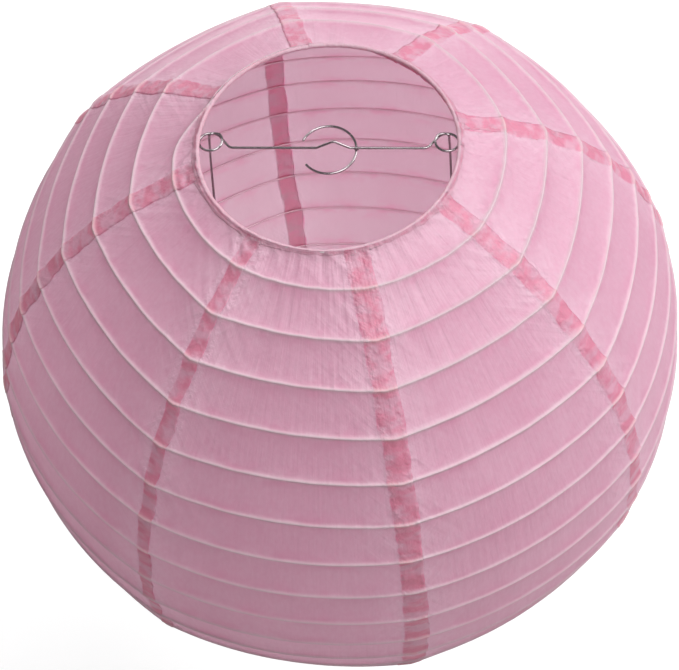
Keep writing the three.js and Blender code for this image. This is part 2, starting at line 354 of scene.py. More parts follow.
# Rows of a panel: close together beside each rib, where the paper turns over the wire.
NEAR_RIB = np.array([0.45, 0.9, 1.5, 2.7]) * MM
NARROW_STEP = 0.09  # their greatest steps in a narrow panel, as a share of its width
MIDDLE_ROWS = 7
PANEL_ROWS = 2 * len(NEAR_RIB) + MIDDLE_ROWS + 1
COLUMNS = 66
LAP_COLUMNS = 8
EDGE_STEP = 0.9 * MM
RAGGED = (0.9, 11 * MM, 17)  # a lap's edge: height in millimetres, size and seed of its two noises
TORN = (0.5, 3 * MM, 23)
LEAD_MARGIN = 0.2  # in radians, allowed for the laps when the gore with the rib's start is looked for


def panel_rows(turned, panel, step):
    """Polar angle, and the lines above and below, for each row of a gore."""
    above = rib_line(panel, turned)
    below = rib_line(panel + 1, turned)
    width = np.maximum(SHELL_RADIUS * (below - above), NO_WIDTH)
    near = [np.minimum(gap / width, NARROW_STEP * (i + 1)) for i, gap in enumerate(NEAR_RIB)]
    shares = [np.zeros_like(width), *near]
    for i in range(MIDDLE_ROWS):
        shares.append(near[-1] + (1 - 2 * near[-1]) * (i + 1) / (MIDDLE_ROWS + 1))
    shares += [1 - share for share in reversed(near)]
    share = np.choose(step, shares)
    return above + (below - above) * share, above, below


def half_lap(seam, polar, side):
    """From a seam's middle to the ragged edge of its lap, as an angle round the shell. side is 0 or 1."""
    spot = polar * 0 + 0.1 * seam + 0.05 * side  # a line of noise of its own
    stray = 0
    for height, size, seed in (RAGGED, TORN):
        stray = stray + height * flat_noise(polar * ARC, spot, size, seed)
    return (SEAM_LAPS[seam % GORES] / 2 + stray * MM) / (SHELL_RADIUS * np.sin(polar))


def clear_of_ring(points):
    """Points too near a ring wire slid out along the paper, to the edge of the gore."""
    radius = np.hypot(points[..., 0], points[..., 1])
    out = np.maximum(RING_RADIUS + GORE_CLEARANCE - radius, 0)
    slope = SHELL_HEIGHT / SHELL_RADIUS * math.tan(RING_POLAR)
    moved = points.copy()
    moved[..., :2] *= ((radius + out) / radius)[..., None]
    moved[..., 2] -= np.where(points[..., 2] > CENTRE_Z, 1, -1) * out * slope
    return moved


def gore_grid(index):
    """Points of one gore row by row, with its double bands, its distance from a rib and its flat places."""
    start = FIRST_SEAM + index * SEAM_STEP
    turn = (start - RIB_START) % FULL_TURN
    if turn > FULL_TURN - SEAM_STEP - LEAD_MARGIN:
        turn -= FULL_TURN  # the rib wire leaves the ring inside this gore
    columns = COLUMNS + LAP_COLUMNS
    row = np.arange(PANEL_ROWS * (RIB_TURNS + 1) + 1)[:, None] + np.zeros(columns, int)
    panel, step = row // PANEL_ROWS, row % PANEL_ROWS
    column = np.arange(columns)[None, :] + 0.0 * row
    polar, _, _ = panel_rows(np.full(row.shape, turn + SEAM_STEP / 2), panel, step)
    far = SEAM_STEP + half_lap(index + 1, polar, 1)
    fold = SEAM_STEP - half_lap(index + 1, polar, 0)
    near = -half_lap(index, polar, 0)
    inner = half_lap(index, polar, 1)
    edge = EDGE_STEP / (SHELL_RADIUS * np.sin(polar))
    stops = [0, LAP_COLUMNS, COLUMNS - 2, COLUMNS - 1, columns - 1]
    places = [near, inner, fold - edge, fold, far]
    along = near
    for first, last, before, after in zip(stops[:-1], stops[1:], places[:-1], places[1:]):
        share = np.clip((column - first) / (last - first), 0, 1)
        along = along + share * (after - before)
    polar, above, below = panel_rows(turn + along, panel, step)
    lift = LAP_LIFT * np.clip(column - COLUMNS + 2, 0, 1)
    points, rib_gap = paper_point(polar, start + along, above, below, lift)
    points = clear_of_ring(points)
    double = np.where((column < LAP_COLUMNS) | (column >= COLUMNS - 1), 1.0, 0.0)
    return points, double, rib_gap, flat_places(polar, start + along)


# ---------------------------------------------------------------- mesh helpers


def new_object(name, vertices, faces, material):
    mesh = bpy.data.meshes.new(name)
    mesh.from_pydata(np.asarray(vertices, float).tolist(), [], faces)
    mesh.validate()
    mesh.polygons.foreach_set("use_smooth", [True] * len(mesh.polygons))
    mesh.materials.append(material)
    obj = bpy.data.objects.new(name, mesh)
    bpy.context.scene.collection.objects.link(obj)
    return obj


def grid_faces(rows, columns, wrap=False):
    """Quads through a grid of points; with wrap the last column joins the first."""
    faces = []
    last = columns if wrap else columns - 1
    for row in range(rows - 1):
        for column in range(last):
            a = row * columns + column
            b = row * columns + (column + 1) % columns
            faces.append((a, a + columns, b + columns, b))
    return faces


def set_attribute(mesh, name, values):
    layer = mesh.attributes.new(name, "FLOAT", "POINT")
    layer.data.foreach_set("value", np.asarray(values, np.float32).ravel())


def apply_modifiers(obj):
    graph = bpy.context.evaluated_depsgraph_get()
    mesh = bpy.data.meshes.new_from_object(obj.evaluated_get(graph))
    obj.modifiers.clear()
    obj.data = mesh


def thicken(obj, thickness, inside=None):
    """Gives a sheet its thickness, with the inside material on the faces that look inwards."""
    modifier = obj.modifiers.new("thickness", "SOLIDIFY")
    modifier.thickness = thickness
    modifier.offset = 0
    if inside:
        obj.data.materials.append(inside)
        modifier.material_offset = 1
    apply_modifiers(obj)


CUT_END = ((0.9, 0.12), (0.62, 0.25))  # share of the radius, and how far past the last point in radii


def tube(name, points, radius, material, sides=12, closed=False):
    """A round wire along a list of points, with slightly rounded cut ends unless it is closed."""
    points = np.asarray(points, float)
    if closed:
        along = np.roll(points, -1, axis=0) - np.roll(points, 1, axis=0)
    else:
        along = np.gradient(points, axis=0)
    along = [Vector(a).normalized() for a in along]
    middle = [(i, 1.0, 0.0) for i in range(len(points))]
    last = len(points) - 1
    start, end = [], []
    if not closed:
        start = [(0, share, -push) for share, push in reversed(CUT_END)]
        end = [(last, share, push) for share, push in CUT_END]
    side = Vector((0, 0, 1)) if closed else along[0].orthogonal().normalized()
    vertices = []
    rings = start + middle + end
    for index, share, push in rings:
        side = (side - along[index] * side.dot(along[index])).normalized()
        other = along[index].cross(side)
        centre = Vector(points[index]) + along[index] * (push * radius)
        for step in range(sides):
            angle = FULL_TURN * step / sides
            offset = side * math.cos(angle) + other * math.sin(angle)
            vertices.append(centre + offset * (radius * share))
    count = len(rings)
    faces = [tuple(reversed(face)) for face in grid_faces(count, sides, wrap=True)]
    if closed:
        for step in range(sides):
            a, b = (count - 1) * sides + step, (count - 1) * sides + (step + 1) % sides
            faces.append((a, b, (step + 1) % sides, step))
    else:
        faces.append(tuple(reversed(range(sides))))
        faces.append(tuple(range((count - 1) * sides, count * sides)))
    return new_object(name, vertices, faces, material)


# ---------------------------------------------------------------- materials


def node_material(name):
    material = bpy.data.materials.new(name)
    material.use_nodes = True
    tree = material.node_tree
    return material, tree, tree.nodes["Principled BSDF"], tree.nodes["Material Output"]


def add_noise(tree, coordinates, scale, detail, stretch=(1, 1, 1)):
    mapping = tree.nodes.new("ShaderNodeMapping")
    mapping.inputs["Scale"].default_value = stretch
    tree.links.new(coordinates, mapping.inputs["Vector"])
    noise = tree.nodes.new("ShaderNodeTexNoise")
    noise.inputs["Scale"].default_value = scale
    noise.inputs["Detail"].default_value = detail
    tree.links.new(mapping.outputs["Vector"], noise.inputs["Vector"])
    return noise.outputs["Fac"]


def mix_colour(tree, factor, first, second):
    mix = tree.nodes.new("ShaderNodeMix")
    mix.data_type = "RGBA"
    for socket, value in ((mix.inputs[0], factor), (mix.inputs[6], first), (mix.inputs[7], second)):
        if isinstance(value, bpy.types.NodeSocket):
            tree.links.new(value, socket)
        elif socket.type == "VALUE":
            socket.default_value = value
        else:
            socket.default_value = (*value, 1)
    return mix.outputs[2]


def map_range(tree, value, low_in, high_in, low_out, high_out):
    node = tree.nodes.new("ShaderNodeMapRange")
    tree.links.new(value, node.inputs["Value"])
    node.inputs["From Min"].default_value = low_in
    node.inputs["From Max"].default_value = high_in
    node.inputs["To Min"].default_value = low_out
    node.inputs["To Max"].default_value = high_out
    return node.outputs["Result"]


def combine(tree, operation, first, second):
    node = tree.nodes.new("ShaderNodeMath")
    node.operation = operation
    for socket, value in zip(node.inputs, (first, second)):
        if isinstance(value, bpy.types.NodeSocket):
            tree.links.new(value, socket)
        else:
            socket.default_value = value
    return node.outputs["Value"]


def multiply(tree, first, second):
    return combine(tree, "MULTIPLY", first, second)


def flat_vector(tree, first, second, turned=0.0):
    """Two attributes as a vector to look noise up with, turned by an angle."""
    join = tree.nodes.new("ShaderNodeCombineXYZ")
    tree.links.new(attribute(tree, first), join.inputs["X"])
    tree.links.new(attribute(tree, second), join.inputs["Y"])
    mapping = tree.nodes.new("ShaderNodeMapping")
    mapping.inputs["Rotation"].default_value = (0, 0, turned)
    tree.links.new(join.outputs["Vector"], mapping.inputs["Vector"])
    return mapping.outputs["Vector"]


def attribute(tree, name):
    node = tree.nodes.new("ShaderNodeAttribute")
    node.attribute_name = name
    return node.outputs["Fac"]


FAN_LEAN = math.radians(50)
STREAK_RISE = 0.6
CRINKLE_RISE = 2.2
FIBRE_RISE = 0.3
WRINKLE_HEIGHT = 0.7 * MM  # the height of one unit of the three above


def paper_wrinkles(tree, place):
    """The height of the fine wrinkles: streaks from rib to rib, fans off the seams, and crinkles."""
    flat = flat_vector(tree, "around", "down")
    streaks = add_noise(tree, flat, scale=330, detail=3, stretch=(1, 0.10, 1))
    height = multiply(tree, streaks, STREAK_RISE)
    for lean in (FAN_LEAN, -FAN_LEAN):
        leaning = flat_vector(tree, "down", "away", lean)
        fan = add_noise(tree, leaning, scale=260, detail=2, stretch=(1, 0.12, 1))
        fan = combine(tree, "POWER", fan, 2)
        height = combine(tree, "ADD", height, multiply(tree, fan, attribute(tree, "fanned")))
    crinkles = combine(tree, "POWER", add_noise(tree, place, scale=430, detail=3), 2)
    crinkles = multiply(tree, crinkles, attribute(tree, "crushed"))
    return combine(tree, "ADD", height, multiply(tree, crinkles, CRINKLE_RISE))


THROUGH = 0.55  # how much of the light that lands on the paper goes into it
TINTED = 0.5  # how much that light has the through colour, and not the face's
FIBRE_DEPTH = 0.30
GLUE_DEPTH = 0.7
# painted highlight: how far the wrinkles' raised parts are painted paler
WRINKLE_HIGHLIGHT = 0.5
LAP_LEAST = 0.22  # how deep a lap is between its spots
LAP_THROUGH = 0.95
# how far a rib's crest is mixed towards the crest colour: a painted highlight on the outside, a pinker line
# inside
RIDGE_HIGHLIGHT_AND_TINT = 0.9
WIRE_SHADE = (0.38, 0.13, 0.20)  # light from inside is stopped by the rib wire behind the paper
SHEEN = 0.1
SHEEN_ROUGHNESS = 0.5


def paper_material(
    name, base, deep, fibre_and_wrinkle_highlight, double, glue, crest, through, doubled_through, wire_shade, gloss, roughness
):
    """Thin rice paper: mottled pink fibres, deeper where two layers lap, a painted highlight on the rib
    crests and on the wrinkles' raised parts, and a painted shadow of the rib wire in the light shone
    through.
    """
    material, tree, shader, output = node_material(name)
    place = tree.nodes.new("ShaderNodeTexCoord").outputs["Object"]
    flat = flat_vector(tree, "around", "down")
    clouds = add_noise(tree, place, scale=26, detail=3)
    fibres = add_noise(tree, place, scale=420, detail=4, stretch=(1, 1, 0.45))
    spots = add_noise(tree, flat, scale=120, detail=2, stretch=(0.45, 1, 1))
    wrinkles = paper_wrinkles(tree, place)
    pink = mix_colour(tree, map_range(tree, clouds, 0.3, 0.7, 0, 1), deep, base)
    pink = mix_colour(tree, map_range(tree, fibres, 0.35, 0.75, 0, FIBRE_DEPTH), pink, fibre_and_wrinkle_highlight)
    stain = multiply(tree, attribute(tree, "glue"), map_range(tree, spots, 0.42, 0.66, 0, GLUE_DEPTH))
    pink = mix_colour(tree, stain, pink, glue)
    # Painted highlight: the higher a wrinkle stands, the paler the paper is painted, towards the fibre
    # colour.
    wrinkle_highlight = map_range(tree, wrinkles, 0.45, 1.2, 0, WRINKLE_HIGHLIGHT)
    pink = mix_colour(tree, wrinkle_highlight, pink, fibre_and_wrinkle_highlight)
    lapped = multiply(tree, attribute(tree, "lap"), map_range(tree, spots, 0.40, 0.59, LAP_LEAST, 1))
    face = mix_colour(tree, lapped, pink, double)
    ridge = attribute(tree, "ridge")
    # Painted highlight: the outside paper is painted near-white along each rib's crest.
    ridged = mix_colour(tree, multiply(tree, ridge, RIDGE_HIGHLIGHT_AND_TINT), face, crest)
    tree.links.new(ridged, shader.inputs["Base Color"])
    shader.inputs["Roughness"].default_value = roughness
    shader.inputs["Specular IOR Level"].default_value = gloss
    shader.inputs["Sheen Weight"].default_value = SHEEN
    shader.inputs["Sheen Roughness"].default_value = SHEEN_ROUGHNESS
    bump = tree.nodes.new("ShaderNodeBump")
    bump.inputs["Strength"].default_value = 1
    bump.inputs["Distance"].default_value = WRINKLE_HEIGHT
    height = combine(tree, "ADD", wrinkles, multiply(tree, fibres, FIBRE_RISE))
    tree.links.new(height, bump.inputs["Height"])
    tree.links.new(bump.outputs["Normal"], shader.inputs["Normal"])
    translucent = tree.nodes.new("ShaderNodeBsdfTranslucent")
    shone = mix_colour(tree, TINTED, face, through)
    wired = multiply(tree, combine(tree, "POWER", ridge, 3), wire_shade)
    shone = mix_colour(tree, wired, shone, WIRE_SHADE)
    shone = mix_colour(tree, multiply(tree, lapped, LAP_THROUGH), shone, doubled_through)
    tree.links.new(shone, translucent.inputs["Color"])
    both = tree.nodes.new("ShaderNodeMixShader")
    both.inputs["Fac"].default_value = THROUGH
    tree.links.new(shader.outputs["BSDF"], both.inputs[1])
    tree.links.new(translucent.outputs["BSDF"], both.inputs[2])
    tree.links.new(both.outputs["Shader"], output.inputs["Surface"])
    return material


WORN = 0.6  # how much of a stain's colour shows
DULLER = 0.15


def wire_material(name, colour, worn, roughness):
    """Drawn steel wire: bright, with faint stains and dull specks."""
    material, tree, shader, _ = node_material(name)
    place = tree.nodes.new("ShaderNodeTexCoord").outputs["Object"]
    specks = add_noise(tree, place, scale=900, detail=2)
    stains = add_noise(tree, place, scale=60, detail=3)
    tone = mix_colour(tree, map_range(tree, stains, 0.4, 0.75, 0, WORN), colour, worn)
    tree.links.new(tone, shader.inputs["Base Color"])
    dull = map_range(tree, specks, 0.3, 0.8, roughness, roughness + DULLER)
    tree.links.new(dull, shader.inputs["Roughness"])
    shader.inputs["Metallic"].default_value = 1
    return material


FLOOR_GREY = (0.9, 0.9, 0.9)
FLOOR_PALE = (0.93, 0.93, 0.93)
FLOOR_ROUGHNESS = 0.8
FLOOR_GLOW = 0.22


def floor_material():
    material, tree, shader, _ = node_material("pale_floor")
    place = tree.nodes.new("ShaderNodeTexCoord").outputs["Object"]
    mottle = add_noise(tree, place, scale=6, detail=2)
    tone = mix_colour(tree, mottle, FLOOR_GREY, FLOOR_PALE)
    tree.links.new(tone, shader.inputs["Base Color"])
    shader.inputs["Roughness"].default_value = FLOOR_ROUGHNESS
    shader.inputs["Emission Color"].default_value = (1, 1, 1, 1)
    shader.inputs["Emission Strength"].default_value = FLOOR_GLOW
    return material


# ---------------------------------------------------------------- the paper shell


def fold_flat(obj):
    """Gives the object its own copy of its mesh."""
    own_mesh(obj)


RIDGE_WIDTH = 1.2 * MM  # of the painted highlight line over a rib
GLUE_WIDTH = 5 * MM  # of the stain beside it
WELD_GAP = 0.02 * MM


def mark_paper(mesh, places, lap, rib_gap, glue):
    """Gives the paper's mesh every attribute that its materials read."""
    for label, values in places.items():
        set_attribute(mesh, label, values)
    set_attribute(mesh, "lap", lap)
    set_attribute(mesh, "ridge", bell(rib_gap, RIDGE_WIDTH))
    set_attribute(mesh, "glue", glue)


def build_gore(index, material, inside):
    points, double, rib_gap, places = gore_grid(index)
    rows, columns, _ = points.shape
    faces = grid_faces(rows, columns)
    obj = new_object(f"paper_gore_{index + 1}", points.reshape(-1, 3), faces, material)
    mark_paper(obj.data, places, double, rib_gap, bell(rib_gap, GLUE_WIDTH))
    weld = obj.modifiers.new("weld", "WELD")
    weld.merge_threshold = WELD_GAP
    apply_modifiers(obj)
    thicken(obj, PAPER, inside)
    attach(obj, "shell")
    fold_flat(obj)
    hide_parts(f"gore_{index + 1}")


def ring_radius(azimuth, kinked):
    """The ring's radius, with the small corner where its wire's ends meet."""
    if not kinked:
        return RING_RADIUS + 0 * azimuth
    away = np.abs((azimuth - RING_KINK_AT + math.pi) % FULL_TURN - math.pi)
    return RING_RADIUS + RING_KINK * np.exp(-away / RING_KINK_WIDTH)


HEM_COLUMNS = 440
HEM_LIFT = 0.34 * MM
TAIL_LIFT = 0.16 * MM  # the tail's outer edge lies almost flat on the gores
TAIL_STEPS = 10
ROLL_STEPS = 9
ROLL_BAND_STEP = 6  # where the roll's deeper band is strongest, and how many steps it fades over
ROLL_BAND_STEPS = 3
INNER_STEPS = 5
OUTER_STRIP = 2.4  # millimetres outside the roll
INNER_STRIP = 3.6  # millimetres hanging inside
SEAM_EXTRA = 1.6  # millimetres more outside where a seam's two layers end
SEAM_EXTRA_WIDTH = 6 * MM
COARSE_LUMPS = (21 * MM, 51)  # size and seed of the noises that make the strips' edges ragged
TORN_LUMPS = (4.5 * MM, 53)
FINE_LUMPS = (1.6 * MM, 59)
OUTER_RAGGED = (0.6, 0.4, 0.25)  # millimetres of each of those three in the outer strip's edge
INNER_RAGGED = (0.8, 1.3, 0.9)
ROLL_LUMPY = (0, 0.08, 0.10)  # and shares of the roll's radius
BOTTOM_SEED = 100
ROLL_END = math.radians(238)  # round the wire, from straight out to where the inner strip hangs
HANG_TURN = math.radians(42)  # how much sooner the roll ends where the strip hangs straight down
CURL = math.radians(9)
LOOSE_FROM = math.radians(190)  # where the top hem's outer strip starts to lie a little wide and loose
LOOSE_WIDTH = math.radians(45)
LOOSE_LIFT = 0.3 * MM
LOOSE_AT = 2.2 * MM
LOOSE_ROLL = 0.5 * MM
HANG_BETWEEN = (math.radians(22), math.radians(60))  # where the top hem's inner strip hangs straight down
HANG_OUTSIDE = (math.radians(5), math.radians(85))  # where it is back to its usual curl
HEM_GLUE = 0.4
HEM_MOTTLE = (0.3, 0.2, 0.25)  # how patchy the deeper pink is on the tail, the roll and the inner strip
HEM_DEPTH = (0.1, 0.15, 0.75)  # and how deep
BAND_DEPTH = 0.6
TAIL_BAND_AT = 1.2 * MM
TAIL_BAND_WIDTH = 0.9 * MM
ROLL_HIGHLIGHT_GAP = 1 * MM  # the roll takes the ribs' painted highlight as paper this far from a rib does: a pale painted rim line
INNER_GAP = 9 * MM


def lines_round(polar, azimuth):
    """The lines across the paper just above and just below each point."""
    turned = (azimuth - RIB_START) % FULL_TURN
    lines = [rib_line(number, turned) for number in range(RIB_TURNS + 2)]
    above, below = lines[0], lines[1]
    for first, second in zip(lines[:-1], lines[1:]):
        between = (polar >= first) & (polar <= second) & (second > first)
        above = np.where(between, first, above)
        below = np.where(between, second, below)
    return above, below


def build_hem(name, body, top, material):
    """The gores' edges folded over a ring: a ragged outer strip, a roll and a torn inner strip."""
    flip = 1 if top else -1
    shift = 0 if top else BOTTOM_SEED
    azimuth = np.linspace(0, FULL_TURN, HEM_COLUMNS + 1)[:-1]
    circle = np.stack([np.cos(azimuth), np.sin(azimuth), np.zeros_like(azimuth)], -1) * GATHER_ARC
    side = np.abs(seam_distance(np.full_like(azimuth, RING_POLAR), azimuth))
    kinds = (COARSE_LUMPS, TORN_LUMPS, FINE_LUMPS)
    noises = np.array([lattice_noise(circle, size, seed + shift) for size, seed in kinds])
    coarse, torn, _ = noises
    loose = bell((azimuth - LOOSE_FROM) % FULL_TURN, LOOSE_WIDTH) if top else 0 * azimuth
    ends = SEAM_EXTRA * bell(side, SEAM_EXTRA_WIDTH)
    outer = MM * (OUTER_STRIP + ends + loose + np.dot(OUTER_RAGGED, noises))
    hang = ramp(azimuth, HANG_OUTSIDE[0], HANG_BETWEEN[0])
    hang = hang * ramp(-azimuth, -HANG_OUTSIDE[1], -HANG_BETWEEN[1])
    hang = hang if top else 0 * azimuth
    inner = MM * (INNER_STRIP + np.dot(INNER_RAGGED, noises))
    rows, gaps, doubles, polars = [], [], [], []
    for step in range(TAIL_STEPS):
        reach = outer * (1 - step / TAIL_STEPS)
        polar = RING_POLAR + reach / SHELL_RADIUS
        if not top:
            polar = math.pi - polar
        above, below = lines_round(polar, azimuth)
        lift = TAIL_LIFT + (HEM_LIFT - TAIL_LIFT) * (step / TAIL_STEPS) ** 2
        lift = lift + LOOSE_LIFT * loose * bell(reach - LOOSE_AT, LOOSE_ROLL)
        point, gap = paper_point(polar, azimuth, above, below, lift)
        rows.append(point)
        gaps.append(gap)
        polars.append(polar)
        band = BAND_DEPTH * bell(reach - TAIL_BAND_AT, TAIL_BAND_WIDTH)
        doubles.append(HEM_DEPTH[0] + HEM_MOTTLE[0] * coarse + band)
    ring_z = TOP_Z if top else BOTTOM_Z
    radius = ring_radius(azimuth, top)
    start = math.pi / 2 - RING_POLAR
    end = ROLL_END - HANG_TURN * hang
    roll = HEM_RADIUS * (1 + np.dot(ROLL_LUMPY, noises))

    def around_ring(angle, reach):
        """A point off the ring at an angle in its section, then moved along the section's tangent."""
        out = roll * np.cos(angle) - reach * np.sin(angle)
        up = roll * np.sin(angle) + reach * np.cos(angle)
        x = (radius + out) * np.cos(azimuth)
        y = (radius + out) * np.sin(azimuth)
        return np.stack([x, y, ring_z + flip * up], -1)

    for step in range(ROLL_STEPS + 1):
        angle = start + (end - start) * step / ROLL_STEPS
        rows.append(around_ring(angle, 0))
        # Painted highlight: this rib distance gives the roll a pale painted rim line.
        gaps.append(np.full_like(azimuth, ROLL_HIGHLIGHT_GAP))
        band = BAND_DEPTH * bell(step - ROLL_BAND_STEP, ROLL_BAND_STEPS) * hang
        doubles.append(HEM_DEPTH[1] + HEM_MOTTLE[1] * coarse + band)
    for step in range(1, INNER_STEPS + 1):
        share = step / INNER_STEPS
        rows.append(around_ring(end + CURL * torn * share, inner * share))
        gaps.append(np.full_like(azimuth, INNER_GAP))
        doubles.append(HEM_DEPTH[2] + HEM_MOTTLE[2] * coarse)
    points = np.array(rows)
    count = len(rows)
    faces = grid_faces(count, HEM_COLUMNS, wrap=True)
    if not top:
        faces = [tuple(reversed(face)) for face in faces]
    obj = new_object(name, points.reshape(-1, 3), faces, material)
    rim = RING_POLAR if top else math.pi - RING_POLAR
    polars += [np.full_like(azimuth, rim)] * (count - len(polars))
    places = flat_places(np.array(polars), np.array([azimuth] * count))
    glue = np.full((count, HEM_COLUMNS), HEM_GLUE)
    mark_paper(obj.data, places, np.clip(np.array(doubles), 0, 1), np.array(gaps), glue)
    thicken(obj, PAPER)
    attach(obj, body)


RING_STEPS = 180
RIB_STEP = math.radians(3)


def build_ring(body, top, material):
    azimuth = np.linspace(0, FULL_TURN, RING_STEPS + 1)[:-1]
    radius = ring_radius(azimuth, top)
    z = np.full_like(azimuth, TOP_Z if top else BOTTOM_Z)
    points = np.stack([radius * np.cos(azimuth), radius * np.sin(azimuth), z], -1)
    obj = tube(f"{body}_ring_wire", points, RING_WIRE, material, closed=True)
    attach(obj, body)
    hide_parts("top_ring" if top else "bottom_ring")


def build_rib(material):
    """One wire wound in a spiral just inside the paper, from one ring to the other."""
    turned = np.arange(0, FULL_TURN * RIB_TURNS, RIB_STEP)
    polar = rib_polar(turned)
    clear = RING_POLAR + RIB_CLEARANCE / SHELL_RADIUS
    polar = np.maximum(polar, clear)
    kept = polar < math.pi - RING_POLAR - RIB_END_CLEARANCE / SHELL_RADIUS
    polar, azimuth = polar[kept], RIB_START + turned[kept]
    points = smooth_shell(polar, azimuth) - shell_normal(polar, azimuth) * RIB_SINK
    obj = tube("rib_wire", points, RIB_WIRE, material, sides=8)
    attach(obj, "shell")
    fold_flat(obj)
    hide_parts("rib_spiral")


# ---------------------------------------------------------------- the wire expander


def rounded_corners(corners, bends, step=math.radians(9)):
    """The corners' points with every inner corner rounded to its bend radius."""
    corners = [Vector(corner) for corner in corners]
    points = [corners[0]]
    for i in range(1, len(corners) - 1):
        back = (corners[i - 1] - corners[i]).normalized()
        ahead = (corners[i + 1] - corners[i]).normalized()
        half = back.angle(ahead) / 2
        centre = corners[i] + (back + ahead).normalized() * (bends[i] / math.sin(half))
        start = corners[i] + back * (bends[i] / math.tan(half)) - centre
        end = corners[i] + ahead * (bends[i] / math.tan(half)) - centre
        turn = start.angle(end)
        axis = start.cross(end).normalized()
        steps = max(3, math.ceil(turn / step))
        for number in range(steps + 1):
            points.append(centre + Matrix.Rotation(turn * number / steps, 3, axis) @ start)
    points.append(corners[-1])
    return points


LOOP_ENTRY = math.radians(45)
LOOP_STEPS = 60
LOOP_HUMP = 0.1 * MM  # the last bend stands this much over the loop's end
LOOP_END_DROP = 0.8 * MM
LOOP_TAIL_STEP = math.radians(12)
KINK_SIDE_BEND = 3 * MM
BAR_END_BEND = 4 * MM
LOOP_LEAVING_BEND = 3 * MM
LEG_TURN_BEND = 1.4 * MM
KINK_PEAK_BEND = 2.2 * MM


def crossbar_half(side, kink_x):
    """From the kink's peak out to the loop at one end and down to where the leg goes on."""

    def loop_point(angle, radius, z):
        return Vector((side * (LOOP_X - radius * math.cos(angle)), LOOP_Y + radius * math.sin(angle), z))

    corners = [
        (KINK_PEAK_X, 0, 0),
        (kink_x, 0, BAR_Z),
        (side * BAR_BEND_X, 0, BAR_Z),
        loop_point(LOOP_ENTRY, LOOP_RADIUS, BAR_Z),
    ]
    points = rounded_corners(corners, [0, KINK_SIDE_BEND, BAR_END_BEND, 0])[1:]
    for number in range(1, LOOP_STEPS + 1):
        angle = FULL_TURN * number / LOOP_STEPS
        rise = LOOP_RISE * angle / FULL_TURN
        points.append(loop_point(LOOP_ENTRY + angle, LOOP_RADIUS, BAR_Z + rise))
    top = BAR_Z + LOOP_RISE + LOOP_HUMP
    inward = [
        points[-1],
        loop_point((LOOP_ENTRY + LEG_TURN) / 2, (LOOP_RADIUS + LEG_TURN_RADIUS) / 2, top),
        loop_point(LEG_TURN, LEG_TURN_RADIUS, top),
        loop_point(LEG_TURN, LEG_TURN_RADIUS, BAR_Z - LOOP_END_DROP),
    ]
    bends = [0, LOOP_LEAVING_BEND, LEG_TURN_BEND, 0]
    return points[:-1] + rounded_corners(inward, bends, LOOP_TAIL_STEP)


def ride_wire(obj, body, node):
    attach(obj, body)
    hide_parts(node)


def build_crossbar(material):
    corners = [(KINK_LEFT_X, 0, BAR_Z), (KINK_PEAK_X, 0, 0), (KINK_RIGHT_X, 0, BAR_Z)]
    peak = rounded_corners(corners, [0, KINK_PEAK_BEND, 0])[1:-1]
    left = crossbar_half(-1, KINK_LEFT_X)[::-1]
    points = left + peak + crossbar_half(1, KINK_RIGHT_X)
    ride_wire(tube("crossbar_wire", points, EXPANDER_WIRE, material), "expander", "crossbar")


LEG_TOP_DROP = 0.95 * MM  # just under the end of the crossbar's wire
LEG_STEPS = 60
LEG_BOW_POWER = 0.7


def build_leg(side, name, material):
    top_x = LOOP_X - LEG_TURN_RADIUS * math.cos(LEG_TURN)
    top_y = LOOP_Y + LEG_TURN_RADIUS * math.sin(LEG_TURN)
    top_z = BAR_Z - LEG_TOP_DROP
    bend_top = FOOT_Z + FOOT_BEND
    points = []
    for number in range(LEG_STEPS):
        down = number / LEG_STEPS
        bow = (LEG_BOW_X - top_x) * math.sin(math.pi * down) ** LEG_BOW_POWER
        z = top_z + (bend_top - top_z) * down
        points.append(Vector((side * (top_x + bow), top_y * (1 - down), z)))
    foot = [points.pop(), (side * top_x, 0, FOOT_Z), (side * FOOT_TIP_X, 0, FOOT_Z)]
    points += rounded_corners(foot, [0, FOOT_BEND, 0])
    ride_wire(tube(f"{name}_wire", points, EXPANDER_WIRE, material), name, name)


CORD_RING_POINTS = 110


def build_cord_ring(material):
    z = BAR_Z - CORD_RING_DROP
    angles = np.linspace(CORD_RING_FROM, CORD_RING_TO, CORD_RING_POINTS)
    up = Matrix.Rotation(CORD_RING_TILT, 3, "X")
    flat = [Vector((math.cos(angle), math.sin(angle), 0)) * CORD_RING_RADIUS for angle in angles]
    points = [up @ point + Vector((0, 0, z)) for point in flat]
    ride_wire(tube("cord_ring_wire", points, EXPANDER_WIRE, material), "expander", "cord_ring")


BEAD_ROWS = 9
BEAD_COLUMNS = 16
BEAD_LUMP = 0.16
BEAD_HALF = Vector((1.25, 0.95, 1.2)) * MM  # half its length, width and height
BEAD_DROP = 0.8 * MM


def build_weld_bead(material):
    """The lump of weld between the split ring and the bar."""
    vertices = []
    for row in range(BEAD_ROWS):
        tilt = math.pi * (row + 0.5) / BEAD_ROWS
        for column in range(BEAD_COLUMNS):
            turn = FULL_TURN * column / BEAD_COLUMNS
            lump = 1 + BEAD_LUMP * math.sin(3 * turn + 2 * row) * math.sin(tilt)
            x = CORD_RING_RADIUS + BEAD_HALF.x * lump * math.sin(tilt) * math.cos(turn)
            y = BEAD_HALF.y * lump * math.sin(tilt) * math.sin(turn)
            vertices.append((x, y, BAR_Z - BEAD_DROP + BEAD_HALF.z * math.cos(tilt)))
    faces = grid_faces(BEAD_ROWS, BEAD_COLUMNS, wrap=True)
    faces.append(tuple(range(BEAD_COLUMNS)))
    faces.append(tuple(reversed(range((BEAD_ROWS - 1) * BEAD_COLUMNS, BEAD_ROWS * BEAD_COLUMNS))))
    bead = new_object("weld_bead", vertices, faces, material)
    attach(bead, "expander")


# ---------------------------------------------------------------- the pieces and their materials

